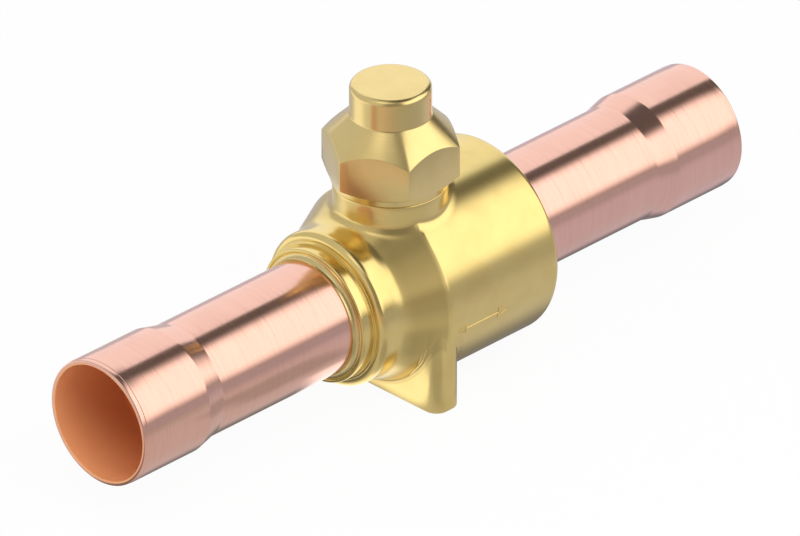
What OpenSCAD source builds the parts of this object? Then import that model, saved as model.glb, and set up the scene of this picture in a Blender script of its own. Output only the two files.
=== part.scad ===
// Shut-off ball valve with copper solder ends, for refrigeration pipework.
// X runs along the pipe towards the wide end of the body, Z up along the stem.
// The origin is the middle of the mounting foot's underside.
// Each module draws its piece about the centre of the ball and then moves it to
// its place over the foot.

/* [Pipe ends] */
// Outside diameter of the two copper tubes
tube_d = 28.6; // [27.6:0.1:29.6]
// Wall of the copper tubes
tube_wall = 1.3; // [1:0.1:1.5]
// Radial gap between a solder socket and the pipe that goes into it
socket_gap = 0.1; // [0.05:0.05:0.2]
// Wall of the widened solder sockets
socket_wall = 1.2; // [0.9:0.1:1.6]
// Depth of the solder sockets
socket_depth = 20.9; // [16:0.1:26]
// Length of the taper between a socket and its tube
taper_len = 5.6; // [3:0.1:9]
// From the stem's axis to the mouth of the front socket
front_reach = 94.9; // [85:0.1:120]
// From the stem's axis to the mouth of the rear socket
rear_reach = 101.4; // [92:0.1:125]
// Chamfer round the mouths of the sockets
mouth_chamfer = 0.35; // [0.1:0.05:0.6]
// Leg of the braze fillet where a tube leaves its brass socket
braze_leg = 0.9; // [0.5:0.1:1.5]

/* [Ball and seats] */
// Bore through the ball and the passages
port_d = 25; // [22:0.1:25.6]
// Diameter of the ball
ball_d = 36; // [35:0.1:38]
// Running gap between the ball and its seats
seat_gap = 0.03; // [0.02:0.01:0.05]
// Radial width of a seat ring
seat_width = 3.3; // [2.8:0.1:3.6]
// Length of a seat ring along the pipe
seat_len = 4.2; // [3.4:0.1:5]
// Thickness of a seat behind the edge of the ball's bore
seat_rim = 2.3; // [1.8:0.1:3]
// Cord thickness of the seat O-rings
seat_cord = 1.7; // [1.2:0.1:2.4]
// Metal left between the ball's bore and the stem's slot
slot_floor_wall = 2; // [1.2:0.1:2.6]
// Diameter of the pressure relief hole in the slot
relief_d = 1.6; // [1:0.1:3]

/* [Body] */
// Gap between the ball and the cavity wall
cavity_gap = 0.6; // [0.4:0.1:1]
// Wall of the barrel round the end plug
body_wall = 4.45; // [3.5:0.05:6]
// How far the barrel's full width reaches ahead of the stem's axis
barrel_front = 4.1; // [2:0.1:5]
// Rounding of the barrel's rear edge
rear_round = 1.5; // [0.5:0.1:2.5]
// Depth of the rim behind the end plug
rear_rim = 0.4; // [0.2:0.1:0.8]
// Wall of the shoulder round the front seat
shoulder_wall = 3.3; // [2.6:0.1:3.8]
// Rounding of the shoulder's front edge
shoulder_round = 1.9; // [0.8:0.1:2.2]
// Length of the shoulder from its face to the foot of the cone
shoulder_len = 6.2; // [5:0.1:7]
// Wall of the collar ahead of the shoulder
collar_wall = 2.2; // [1.8:0.1:2.6]
// Length of the collar
collar_len = 3.4; // [2.5:0.1:5]
// Wall of the lip that the front tube goes into
lip_wall = 1.3; // [0.9:0.1:1.7]
// Length of the lip
lip_len = 2.4; // [1.5:0.1:3.5]
// Length of the front tube inside the body
front_grip = 8; // [6:0.1:10]
// Thickness of the web between a front seat pocket and the tube
front_web = 2.5; // [1.8:0.1:4]

/* [Foot] */
// Width of the mounting foot along the pipe
foot_w = 8.7; // [8:0.1:10]
// Length of the mounting foot across the pipe
foot_len = 46.8; // [42:0.1:47.2]
// Corner radius of the foot
foot_corner = 3.4; // [1:0.1:3.8]
// How far the foot's middle lies ahead of the stem's axis
foot_ahead = 4; // [0:0.1:4.6]
// How far the foot stands below the barrel
foot_drop = 0.1; // [0.1:0.1:4]
// Distance between the two tapped holes
foot_pitch = 34; // [30:0.5:37]
// Tapping diameter of the two holes
foot_hole_d = 4.2; // [3.3:0.1:5]
// Depth of the two holes
foot_hole_depth = 9; // [5:0.1:9.5]

/* [End plug] */
// Height of the step between the cavity and the plug's bore
plug_step = 1.4; // [1:0.1:2]
// Length of the plug's nose ahead of the step
nose_len = 3.7; // [3:0.1:5]
// Length of the plug behind the step
plug_len = 16.4; // [14:0.1:20]
// Thickness of the web between the rear seat pocket and the tube
plug_web = 4; // [3:0.1:5]
// Cord thickness of the plug's O-ring
plug_cord = 1.76; // [1.4:0.02:2]

/* [Stem] */
// Diameter of the stem
stem_d = 12; // [10:0.1:12.6]
// Diameter of the stem's blow-out flange
flange_d = 16; // [15:0.1:17]
// Thickness of the flange
flange_t = 1.9; // [1.4:0.1:3]
// Thickness of the tang that drives the ball
tang_t = 6; // [4.5:0.1:7]
// Width of the tang
tang_w = 11; // [8:0.1:11.5]
// Thickness of the thrust washer
washer_t = 1; // [0.6:0.1:2]
// Length of the stem's guide in the neck
gland_len = 10.6; // [9.6:0.1:13]
// Cord thickness of the stem's O-rings
stem_cord = 1.4; // [1:0.1:1.6]
// Across flats of the stem's square head
head_af = 8; // [7:0.1:8.4]
// Height of the square head above the guide
head_len = 15.5; // [13:0.1:20]

/* [Travel stop] */
// Turn between open and closed, in degrees
stop_turn = 90; // [60:5:90]
// Thickness of the stop plate
plate_t = 1.5; // [1:0.1:2]
// Diameter of the stop pin
pin_d = 1.8; // [1.4:0.1:2]
// Direction of the stop pin seen from above, in degrees
pin_angle = 45; // [0:5:355]
// Thickness of the retaining ring
ring_t = 1; // [0.6:0.1:1.4]

/* [Neck and seal cap] */
// Diameter of the neck below the cap
neck_d = 27.2; // [26:0.1:28]
// Height of the neck above the barrel
neck_rise = 1.8; // [1:0.1:3]
// Size of the fillet between the neck and the barrel
neck_fillet = 2.2; // [1.2:0.1:2.6]
// Diameter of the cap's thread on the neck
thread_d = 21.8; // [20.6:0.1:22.4]
// Depth of the recess for the stop plate in the neck's end
recess_depth = 6.5; // [5:0.1:9]
// Wall of the threaded neck round that recess
recess_wall = 2.3; // [1.8:0.1:2.6]
// Across flats of the cap's hexagon
hex_af = 28.8; // [28:0.1:31]
// Diameter of the turned skirt under the hexagon
skirt_d = 27.8; // [26.4:0.1:28]
// Height of the skirt
skirt_len = 1.6; // [1:0.1:2.4]
// Diameter of the boss on top of the cap
boss_d = 19.28; // [18.6:0.02:21]
// Wall of the boss
boss_wall = 2; // [1.4:0.1:2.4]
// Thickness of the cap's top
roof_t = 2.5; // [1.6:0.1:4]
// Rounding of the boss's top edge
boss_round = 1; // [0.3:0.1:1.6]
// Thickness of the sealing ring in the cap
gasket_t = 1.1; // [0.8:0.1:2]

/* [Hidden] */
$fn = 96;

// Clearances
fit_gap = 0.05;      // radial, a fixed round piece in its bore
running_gap = 0.05;  // radial, the stem in the neck
drive_gap = 0.15;    // each side of the tang in the ball's slot
seam_gap = 0.1;      // between the cap and the neck
thread_gap = 0.1;    // radial, the cap's thread on the neck
oring_gap = 0.02;    // between an O-ring and the walls it lies between
plate_gap = 0.1;     // under and over the stop plate
cut = 1;             // how far a cutting shape stands past a face

// Radii that several pieces share
tube_r = tube_d / 2;
bore_r = tube_r - tube_wall;
socket_r = tube_r + socket_gap;
grip_r = tube_r + fit_gap;
port_r = port_d / 2;
ball_r = ball_d / 2;
cavity_r = ball_r + cavity_gap;
plug_r = cavity_r + plug_step;
plug_bore_r = plug_r + fit_gap;
body_r = plug_bore_r + body_wall;
axis_h = body_r + foot_drop;

// Seats, the same distance ahead of and behind the ball's centre
seat_in_r = port_r + 0.1;
seat_out_r = seat_in_r + seat_width;
seat_pocket_r = seat_out_r + 2 * fit_gap;
seat_back = sqrt(pow(ball_r + seat_gap, 2) - pow(seat_in_r, 2)) + seat_rim;
seat_front = seat_back - seat_len;
seat_floor = seat_back + seat_cord + 2 * oring_gap;
seat_cord_x = seat_back + oring_gap + seat_cord / 2;
seat_cord_r = (seat_in_r + seat_out_r) / 2;

// Front half of the body
front_tube_x = -(seat_floor + front_web);
lip_x = front_tube_x - front_grip;
collar_x = lip_x + lip_len;
shoulder_x = collar_x + collar_len;
cone_x = shoulder_x + shoulder_len;
lip_r = grip_r + lip_wall;
collar_r = grip_r + collar_wall;
shoulder_r = seat_pocket_r + shoulder_wall;
shoulder_foot_r = shoulder_r - shoulder_round;
cone_slope = (body_r - shoulder_r) / (-barrel_front - cone_x);
cone_fillet = 7;
barrel_round = 5;
collar_chamfer = 0.45;
foot_root = 3; // how far below the pipe's axis the foot's block ends in the metal

// Rear half of the body and the end plug
nose_x = seat_front - 0.2;
plug_x = nose_x + nose_len;
plug_end = plug_x + plug_len;
rear_tube_x = seat_floor + plug_web;
body_end = plug_end + rear_rim;
nose_r = cavity_r - 2 * fit_gap;
plug_cord_x = plug_x + 4.4;
plug_groove_w = 1.45 * plug_cord;
plug_groove_r = plug_bore_r - plug_cord - 2 * oring_gap - fit_gap;

// Heights along the stem, above the pipe's axis
slot_floor = port_r + slot_floor_wall;
tang_z = slot_floor + 2 * drive_gap;
flange_z = ball_r + 0.5;
washer_z = flange_z + flange_t;
gland_z = washer_z + washer_t;
gland_top = gland_z + gland_len;
thread_top = gland_top + recess_depth;
neck_top = body_r + neck_rise;
stem_top = gland_top + head_len;
lower_cord_z = gland_z + 0.25 * gland_len;
upper_cord_z = gland_z + 0.63 * gland_len;

// Stem
stem_r = stem_d / 2;
stem_bore_r = stem_r + running_gap;
flange_r = flange_d / 2;
flange_bore_r = flange_r + 0.3;
stem_groove_w = 1.7 * stem_cord;
stem_groove_r = stem_bore_r - stem_cord - 2 * oring_gap;
head_corner_r = 1.3 * head_af / 2;
neck_r = neck_d / 2;
thread_r = thread_d / 2;
recess_r = thread_r - recess_wall;

// Travel stop
pin_r = pin_d / 2;
plate_r = recess_r - 0.3;
pin_place_r = plate_r - pin_r + 0.1;
pin_sink = 2.5;
notch_r = pin_place_r - pin_r - 0.3;
pin_half_angle = asin((pin_r + 0.1) / pin_place_r);
plate_z = gland_top + plate_gap;
ring_z = plate_z + plate_t + plate_gap;
ring_in_r = head_af / 2 + 0.72;
ring_out_r = plate_r - pin_d + 0.4;

// Seal cap
skirt_z = neck_top + seam_gap;
hex_z = skirt_z + skirt_len;
cap_bore_r = thread_r + thread_gap;
cap_shoulder_z = thread_top + seam_gap + gasket_t;
hex_corner_r = hex_af / 2 / cos(30);
hex_top = cap_shoulder_z - 2.5;
boss_r = boss_d / 2;
cone_top = hex_top + hex_corner_r - boss_r;
roof_z = stem_top + 2.1;
cap_top = roof_z + roof_t;
chamfer_slope = tan(30);

// Points of the arc that rounds corner b between a and c with radius r
function corner_arc(a, b, c, r, steps = 6) =
    let (u = (a - b) / norm(a - b), v = (c - b) / norm(c - b),
        half = acos(u * v) / 2,
        centre = b + (u + v) / norm(u + v) * r / sin(half),
        first = b + u * r / tan(half) - centre,
        side = sign(u.y * v.x - u.x * v.y),
        turn = side * (180 - 2 * half))
    [for (i = [0:steps]) let (t = turn * i / steps)
        centre + [first.x * cos(t) - first.y * sin(t), first.x * sin(t) + first.y * cos(t)]];

// Closed outline from [x, y] corners, where a third number rounds the corner
function rounded(path) = [for (i = [0:len(path) - 1])
    let (a = path[(i + len(path) - 1) % len(path)], b = path[i], c = path[(i + 1) % len(path)])
    each len(b) < 3 ? [b] : corner_arc([a.x, a.y], [b.x, b.y], [c.x, c.y], b[2])];

// Outline of a sector from the centre that covers radius r
function sector(r, from, to, steps = 12) = [[0, 0], for (i = [0:steps])
    let (t = from + (to - from) * i / steps) r * [cos(t), sin(t)]];

module over_foot() {
    translate([foot_ahead, 0, axis_h]) children();
}

// Outline with [distance from the pipe's axis, place along it] turned about that axis
module turned_x(outline) {
    rotate([0, 90, 0]) rotate_extrude() polygon(outline);
}

module rod_x(r, from, to) {
    translate([from, 0, 0]) rotate([0, 90, 0]) cylinder(r = r, h = to - from);
}

module rod_z(r, from, to) {
    translate([0, 0, from]) cylinder(r = r, h = to - from);
}

module ring_z(inner, outer, from, to) {
    difference() {
        rod_z(outer, from, to);
        rod_z(inner, from - cut, to + cut);
    }
}

module oring(mean_r, cord) {
    rotate_extrude() translate([mean_r, 0]) circle(d = cord, $fn = 32);
}

// Radius of the body's outside at a place x along the pipe
function outside_r(x) =
    max(shoulder_r, min(body_r, body_r + (x + barrel_front) * cone_slope));

// Height of the body's outside above a point seen from the stem's axis
function outside_z(r, t) = let (w = outside_r(r * cos(t))) sqrt(w * w - pow(r * sin(t), 2));

// Section of the neck's fillet in direction t: a curve from the neck down to
// the body, closed by three points inside the metal. It ends below the neck's top.
FILLET_SINK = 0.08;
FILLET_ROOT = 0.9;
FILLET_STEPS = 6;
function fillet_section(t) =
    let (in_r = neck_r - FILLET_SINK, out_r = neck_r + neck_fillet,
        foot = outside_z(neck_r, t), toe = outside_z(out_r, t) - FILLET_SINK,
        crest = min(foot + neck_fillet, neck_top - FILLET_SINK),
        top = [in_r, crest], bend = [in_r, foot], low = [out_r, toe])
    [for (i = [0:FILLET_STEPS]) let (k = i / FILLET_STEPS)
            (1 - k) * (1 - k) * top + 2 * k * (1 - k) * bend + k * k * low,
        [out_r, toe - FILLET_ROOT],
        [in_r - FILLET_ROOT, foot - FILLET_ROOT],
        [in_r - FILLET_ROOT, crest]];

// Fillet that follows the saddle line where the neck meets the barrel
module neck_saddle(places = 60) {
    m = FILLET_STEPS + 4;
    points = [for (j = [0:places - 1]) let (t = 360 * j / places)
        for (p = fillet_section(t)) [p.x * cos(t), p.x * sin(t), p.y]];
    faces = [for (j = [0:places - 1], i = [0:m - 1])
        let (a = j * m + i, b = j * m + (i + 1) % m,
            c = ((j + 1) % places) * m + (i + 1) % m, d = ((j + 1) % places) * m + i)
        each [[a, c, b], [a, d, c]]];
    polyhedron(points, faces);
}

// Block with round corners that stands across the pipe and ends inside the barrel
module foot_block() {
    x = foot_w / 2 - foot_corner;
    y = foot_len / 2 - foot_corner;
    translate([-foot_ahead, 0, -axis_h]) linear_extrude(axis_h - foot_root) union() {
        square([2 * x, foot_len], center = true);
        square([foot_w, 2 * y], center = true);
        for (i = [-1, 1], j = [-1, 1]) translate([i * x, j * y]) circle(foot_corner);
    }
}

module body_outside() {
    turned_x(rounded([
        [0, lip_x],
        [lip_r, lip_x, 0.3],
        [lip_r, collar_x],
        [collar_r - collar_chamfer, collar_x],
        [collar_r, collar_x + collar_chamfer],
        [collar_r, shoulder_x, 0.4],
        [shoulder_r, shoulder_x, shoulder_round],
        [shoulder_r, cone_x, cone_fillet],
        [body_r, -barrel_front, barrel_round],
        [body_r, body_end, rear_round],
        [0, body_end]]));
    rod_z(neck_r, 0, neck_top);
    rod_z(thread_r, 0, thread_top);
    neck_saddle();
    foot_block();
}

// Everything that is turned out of the body along the pipe
module body_inside() {
    cavity_start = -sqrt(pow(cavity_r, 2) - pow(seat_pocket_r, 2));
    steps = 8;
    start_angle = acos(seat_pocket_r / cavity_r);
    turned_x([
        [0, lip_x - cut],
        [grip_r, lip_x - cut],
        [grip_r, front_tube_x],
        [port_r, front_tube_x],
        [port_r, -seat_floor],
        [seat_pocket_r, -seat_floor],
        for (i = [0:steps]) let (t = start_angle * (1 - i / steps))
            cavity_r * [cos(t), -sin(t)],
        [cavity_r, plug_x],
        [plug_bore_r, plug_x],
        [plug_bore_r, body_end + cut],
        [0, body_end + cut]]);
}

module body() {
    color([0.78, 0.66, 0.38]) over_foot() difference() {
        body_outside();
        body_inside();
        rod_z(flange_bore_r, 0, gland_z);
        rod_z(stem_bore_r, 0, thread_top + cut);
        rod_z(recess_r, gland_top, thread_top + cut);
        rotate([0, 0, pin_angle]) translate([pin_place_r, 0, 0])
            rod_z(pin_r, gland_top - pin_sink, gland_top + cut);
        for (side = [-1, 1]) translate([-foot_ahead, side * foot_pitch / 2, 0])
            rod_z(foot_hole_d / 2, -axis_h - cut, -axis_h + foot_hole_depth);
    }
}

module end_plug() {
    color([0.76, 0.63, 0.36]) over_foot() turned_x(rounded([
        [seat_pocket_r, nose_x],
        [nose_r, nose_x],
        [nose_r, plug_x],
        [plug_r, plug_x],
        [plug_r, plug_cord_x - plug_groove_w / 2],
        [plug_groove_r, plug_cord_x - plug_groove_w / 2],
        [plug_groove_r, plug_cord_x + plug_groove_w / 2],
        [plug_r, plug_cord_x + plug_groove_w / 2],
        [plug_r, plug_end],
        [grip_r, plug_end],
        [grip_r, rear_tube_x],
        [port_r, rear_tube_x],
        [port_r, seat_floor],
        [seat_pocket_r, seat_floor]]));
}

// Copper tube from x = 0 at its brass end to its widened socket at x = reach
module copper_tube(reach) {
    socket_x = reach - socket_depth;
    taper_x = socket_x - taper_len;
    outer_r = socket_r + socket_wall;
    color([0.87, 0.62, 0.50]) turned_x([
        [bore_r, 0],
        [tube_r, 0],
        [tube_r, taper_x],
        [outer_r, socket_x],
        [outer_r, reach - mouth_chamfer],
        [outer_r - mouth_chamfer, reach],
        [socket_r, reach],
        [socket_r, socket_x],
        [bore_r, taper_x]]);
}

module front_tube() {
    over_foot() translate([front_tube_x, 0, 0]) rotate([0, 0, 180]) copper_tube(front_reach + front_tube_x);
}

module rear_tube() {
    over_foot() translate([rear_tube_x, 0, 0]) copper_tube(rear_reach - rear_tube_x);
}

module ball() {
    color([0.82, 0.83, 0.84]) over_foot() difference() {
        sphere(ball_r);
        rod_x(port_r, -ball_d, ball_d);
        translate([-tang_t / 2 - drive_gap, -ball_d, slot_floor])
            cube([tang_t + 2 * drive_gap, 2 * ball_d, ball_d]);
        rod_z(relief_d / 2, 0, ball_r);
    }
}

module seat() {
    color([0.93, 0.93, 0.90]) difference() {
        rod_x(seat_out_r, seat_front, seat_back);
        rod_x(seat_in_r, seat_front - cut, seat_back + cut);
        sphere(ball_r + seat_gap);
    }
}

module front_seat() {
    over_foot() rotate([0, 0, 180]) seat();
}

module rear_seat() {
    over_foot() seat();
}

module seat_oring() {
    color([0.12, 0.12, 0.12]) translate([seat_cord_x, 0, 0]) rotate([0, 90, 0])
        oring(seat_cord_r, seat_cord);
}

module front_seat_oring() {
    over_foot() rotate([0, 0, 180]) seat_oring();
}

module rear_seat_oring() {
    over_foot() seat_oring();
}

module plug_oring() {
    color([0.12, 0.12, 0.12]) over_foot() translate([plug_cord_x, 0, 0]) rotate([0, 90, 0])
        oring(plug_groove_r + oring_gap + plug_cord / 2, plug_cord);
}

module stem_groove(z) {
    ring_z(stem_groove_r, stem_r + cut, z - stem_groove_w / 2, z + stem_groove_w / 2);
}

module stem() {
    color([0.70, 0.70, 0.68]) over_foot() difference() {
        union() {
            translate([-tang_t / 2, -tang_w / 2, tang_z])
                cube([tang_t, tang_w, washer_z - tang_z]);
            rod_z(flange_r, flange_z, washer_z);
            rod_z(stem_r, flange_z, gland_top);
            intersection() {
                rod_z(head_corner_r, flange_z, stem_top);
                translate([-head_af / 2, -head_af / 2, flange_z])
                    cube([head_af, head_af, stem_top - flange_z]);
            }
        }
        stem_groove(lower_cord_z);
        stem_groove(upper_cord_z);
        ring_z(ring_in_r - 0.05, stem_r + cut, ring_z - fit_gap, ring_z + ring_t + fit_gap);
        translate([-stem_r, -0.6, stem_top - 1]) cube([stem_d, 1.2, 2]);
    }
}

module thrust_washer() {
    color([0.93, 0.93, 0.90]) over_foot() ring_z(stem_bore_r, flange_bore_r - 0.1, washer_z, gland_z);
}

module stem_oring(z) {
    color([0.12, 0.12, 0.12]) translate([0, 0, z])
        oring(stem_groove_r + oring_gap + stem_cord / 2, stem_cord);
}

module stem_oring_lower() {
    over_foot() stem_oring(lower_cord_z);
}

module stem_oring_upper() {
    over_foot() stem_oring(upper_cord_z);
}

// Plate on the square head whose notch lets the stem turn from open to closed
module stop_plate() {
    color([0.72, 0.72, 0.72]) over_foot() translate([0, 0, plate_z]) linear_extrude(plate_t) difference() {
        circle(plate_r);
        intersection() {
            square(head_af + 2 * fit_gap, center = true);
            circle(head_corner_r + fit_gap);
        }
        difference() {
            polygon(sector(plate_r + 2, pin_angle - pin_half_angle - 1,
                pin_angle + stop_turn + pin_half_angle + 1));
            circle(notch_r);
        }
    }
}

module stop_pin() {
    color([0.65, 0.66, 0.67]) over_foot() rotate([0, 0, pin_angle]) translate([pin_place_r, 0, 0])
        rod_z(pin_r, gland_top - pin_sink, plate_z + plate_t);
}

module retaining_ring() {
    color([0.60, 0.61, 0.62]) over_foot() translate([0, 0, ring_z]) linear_extrude(ring_t) difference() {
        circle(ring_out_r);
        circle(ring_in_r);
        translate([0, -1.5]) square([ring_out_r + cut, 3]);
    }
}

module seal_cap() {
    color([0.80, 0.69, 0.42]) over_foot() difference() {
        intersection() {
            rotate_extrude() polygon(rounded([
                [0, skirt_z],
                [skirt_d / 2, skirt_z, 0.3],
                [skirt_d / 2, hex_z],
                [hex_corner_r + cut, hex_z + (hex_corner_r + cut - skirt_d / 2) * chamfer_slope],
                [hex_corner_r + cut, hex_top - cut],
                [boss_r, cone_top, 0.5],
                [boss_r, cap_top, boss_round],
                [0, cap_top]]));
            union() {
                rod_z(skirt_d / 2, skirt_z - cut, hex_z + cut);
                translate([0, 0, hex_z]) cylinder(r = hex_corner_r, h = cap_top, $fn = 6);
            }
        }
        rod_z(cap_bore_r, skirt_z - cut, cap_shoulder_z);
        rod_z(boss_r - boss_wall, 0, roof_z);
    }
}

module cap_gasket() {
    color([0.85, 0.83, 0.78]) over_foot() ring_z(recess_r - 0.4, cap_bore_r - 0.15,
        cap_shoulder_z - gasket_t, cap_shoulder_z);
}

// Fillet of braze from a tube at x = 0 towards +X
module braze_ring() {
    inner_r = tube_r + oring_gap;
    color([0.80, 0.74, 0.60]) rotate([0, 90, 0]) rotate_extrude() difference() {
        translate([inner_r, 0]) square(braze_leg);
        translate([inner_r + braze_leg, braze_leg]) circle(braze_leg - 0.05, $fn = 48);
    }
}

module front_braze_ring() {
    over_foot() translate([lip_x, 0, 0]) rotate([0, 0, 180]) braze_ring();
}

module rear_braze_ring() {
    over_foot() translate([plug_end, 0, 0]) braze_ring();
}

body();
end_plug();
front_tube();
rear_tube();
ball();
front_seat();
rear_seat();
front_seat_oring();
rear_seat_oring();
plug_oring();
stem();
thrust_washer();
stem_oring_lower();
stem_oring_upper();
stop_plate();
stop_pin();
retaining_ring();
seal_cap();
cap_gasket();
front_braze_ring();
rear_braze_ring();
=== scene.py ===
"""Shut-off ball valve with copper solder ends: detailed pieces, finishes, light and camera.

Sizes are in millimetres about the centre of the ball, as on the part's drawing.
placed() turns them into metres, with the origin under the mounting foot.
"""

import logging
import math
from dataclasses import dataclass
from enum import Enum

import bmesh
import bpy
from mathutils import Matrix, Vector

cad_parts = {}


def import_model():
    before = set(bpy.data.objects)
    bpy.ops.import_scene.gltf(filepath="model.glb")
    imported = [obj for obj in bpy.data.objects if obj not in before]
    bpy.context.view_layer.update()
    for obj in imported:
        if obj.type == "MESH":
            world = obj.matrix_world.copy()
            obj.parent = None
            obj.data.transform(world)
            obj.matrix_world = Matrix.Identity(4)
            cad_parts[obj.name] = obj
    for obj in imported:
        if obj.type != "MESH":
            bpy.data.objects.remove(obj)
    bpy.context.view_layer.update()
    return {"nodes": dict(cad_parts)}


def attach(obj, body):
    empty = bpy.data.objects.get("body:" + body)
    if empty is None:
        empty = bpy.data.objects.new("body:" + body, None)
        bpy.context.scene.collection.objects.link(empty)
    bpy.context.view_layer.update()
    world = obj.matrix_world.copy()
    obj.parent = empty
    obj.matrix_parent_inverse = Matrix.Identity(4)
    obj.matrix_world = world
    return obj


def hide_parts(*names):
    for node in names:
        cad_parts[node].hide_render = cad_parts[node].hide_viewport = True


MM = 0.001
AXIS_H = 24.6  # pipe's axis above the foot's underside
FOOT_AHEAD = 4.0  # foot's middle ahead of the stem's axis
TURN = 2 * math.pi
SMOOTH_ANGLE = math.radians(32)
CAP_ANGLE = math.radians(24)  # edges of the cap that are sharper than this are broken
FRONT_REACH = 94.9  # from the stem's axis to the front socket's mouth
REAR_REACH = 101.4
ROUND_STEPS = 192  # of a full turn, on the pieces round the pipe

Corner = tuple[float, ...]
Colour = tuple[float, float, float, float]
Span = tuple[float, float]
Ring = list[Vector]
log = logging.getLogger("valve")


class Axis(Enum):
    """The two axes that pieces are turned about."""

    PIPE = (1, 0, 0)
    STEM = (0, 0, 1)


class Body(Enum):
    """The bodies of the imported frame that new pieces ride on."""

    VALVE = "valve_body"
    CAP = "seal_cap"


class Slot(Enum):
    """Names of the record's material slots, one passed with each new piece."""

    BRASS_BODY = "brass_body"
    BRASS_TURNED = "brass_turned"
    COPPER = "copper"


# Outlines


def placed(x: float, y: float, z: float) -> Vector:
    """A point about the ball's centre in millimetres as a point of the frame in metres."""
    return Vector((x + FOOT_AHEAD, y, z + AXIS_H)) * MM


def on_drawing(point: Vector) -> Vector:
    """A point of the frame in metres as one about the ball's centre in millimetres."""
    return point / MM - Vector((FOOT_AHEAD, 0, AXIS_H))


def corner_arc(a: Vector, b: Vector, c: Vector, radius: float, step: float) -> list[Vector]:
    """Points of the arc that rounds a corner.

    Args:
        a: Neighbour before the corner.
        b: The corner.
        c: Neighbour after the corner.
        radius: Radius of the arc.
        step: Longest chord.

    Returns:
        The arc's points, from the side of a to the side of c.
    """
    u, v = (a - b).normalized(), (c - b).normalized()
    half = u.angle(v) / 2
    centre = b + (u + v).normalized() * radius / math.sin(half)
    first = b + u * radius / math.tan(half) - centre
    turn = math.pi - 2 * half
    if u.x * v.y - u.y * v.x > 0:
        turn = -turn
    steps = max(3, math.ceil(abs(turn) * radius / step))
    arc = []
    for i in range(steps + 1):
        t = turn * i / steps
        arc.append(centre + Vector((first.x * math.cos(t) - first.y * math.sin(t),
                                    first.x * math.sin(t) + first.y * math.cos(t))))
    return arc


def rounded(path: list[Corner], step: float = 0.25, longest: float = 99.0) -> list[Vector]:
    """An outline from corners.

    Args:
        path: Corners (radius, place along the axis, rounding); the rounding may be left out.
        step: Longest chord of an arc.
        longest: Longest straight piece, longer ones are divided.

    Returns:
        The outline's points in order.
    """
    bare = [Vector(p[:2]) for p in path]
    points: list[Vector] = []
    for i, corner in enumerate(path):
        if len(corner) < 3:
            points.append(bare[i])
        else:
            after = bare[(i + 1) % len(bare)]
            points += corner_arc(bare[i - 1], bare[i], after, corner[2], step)
    divided = [points[0]]
    for a, b in zip(points, points[1:]):
        parts = math.ceil((b - a).length / longest)
        divided += [a.lerp(b, k / parts) for k in range(1, parts + 1)]
    return divided


# Modelling


def steady(turns: list[float], reach: int = 5) -> list[float]:
    """Evens out the directions of a ring's points, so that they only ever go one way round.

    Args:
        turns: Direction of each point in radians, in the ring's order.
        reach: How many neighbours on each side are averaged.

    Returns:
        The evened directions in the same order.
    """
    whole = [turns[0]]
    for turn in turns[1:]:
        whole.append(whole[-1] + math.remainder(turn - whole[-1], TURN))
    lap = math.copysign(TURN, whole[-1] - whole[0])
    count = len(turns)
    return [sum(whole[(i + k) % count] + (i + k) // count * lap for k in range(-reach, reach + 1))
            / (2 * reach + 1) for i in range(count)]


def deselected() -> None:
    """Leaves object mode with nothing selected."""
    if bpy.context.object and bpy.context.object.mode != "OBJECT":
        bpy.ops.object.mode_set(mode="OBJECT")
    bpy.ops.object.select_all(action="DESELECT")


def chosen(piece: bpy.types.Object) -> None:
    """Leaves object mode with one piece selected and active.

    Args:
        piece: The piece.
    """
    deselected()
    piece.select_set(True)
    bpy.context.view_layer.objects.active = piece


def applied() -> None:
    """Moves the place of the selected piece into its mesh."""
    bpy.ops.object.transform_apply(location=True, rotation=True, scale=True)


def drawn(name: str, points: list[Vector], closed: bool = True) -> bpy.types.Object:
    """A line of edges, extruded from point to point, left selected in edit mode.

    Args:
        name: Name of the piece.
        points: The line's points in metres.
        closed: Whether the last point is joined to the first.

    Returns:
        The line as a piece of its own.
    """
    deselected()
    bpy.ops.mesh.primitive_plane_add(size=MM, location=points[0])
    piece = bpy.context.object
    piece.name = piece.data.name = name
    bpy.ops.object.mode_set(mode="EDIT")
    bpy.ops.mesh.select_all(action="SELECT")
    bpy.ops.mesh.merge(type="CENTER")
    ends = points[1:] + points[:1] * closed
    for a, b in zip(points, ends):
        bpy.ops.mesh.extrude_region_move(TRANSFORM_OT_translate={"value": b - a})
    bpy.ops.mesh.select_all(action="SELECT")
    bpy.ops.mesh.remove_doubles(threshold=MM * 1e-4)
    return piece


def turned(name: str, outline: list[Vector], axis: Axis, steps: int,
           closed: bool = True) -> bpy.types.Object:
    """A piece turned on a lathe.

    Args:
        name: Name of the piece.
        outline: Points (radius, place along the axis).
        axis: Axis that the outline is spun about.
        steps: Steps of the full turn.
        closed: Whether the outline is a closed loop. An open one ends on the axis.

    Returns:
        The piece, as one closed skin with its normals outwards.
    """
    if axis is Axis.PIPE:
        points = [placed(p.y, 0, p.x) for p in outline]
    else:
        points = [placed(p.x, 0, p.y) for p in outline]
    piece = drawn(name, points, closed)
    bpy.ops.mesh.spin(steps=steps, angle=TURN, center=placed(0, 0, 0), axis=axis.value)
    bpy.ops.mesh.select_all(action="SELECT")
    bpy.ops.mesh.remove_doubles(threshold=MM * 1e-3)
    bpy.ops.mesh.normals_make_consistent(inside=False)
    bpy.ops.object.mode_set(mode="OBJECT")
    applied()
    return piece


def modified(piece: bpy.types.Object, kind: str, **settings: object) -> None:
    """Adds one modifier to a piece and applies it.

    Args:
        piece: The piece.
        kind: Type of the modifier.
        **settings: Its settings by name.
    """
    chosen(piece)
    modifier = piece.modifiers.new(kind.title(), kind)
    for key, value in settings.items():
        setattr(modifier, key, value)
    bpy.ops.object.modifier_apply(modifier=modifier.name)


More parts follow.
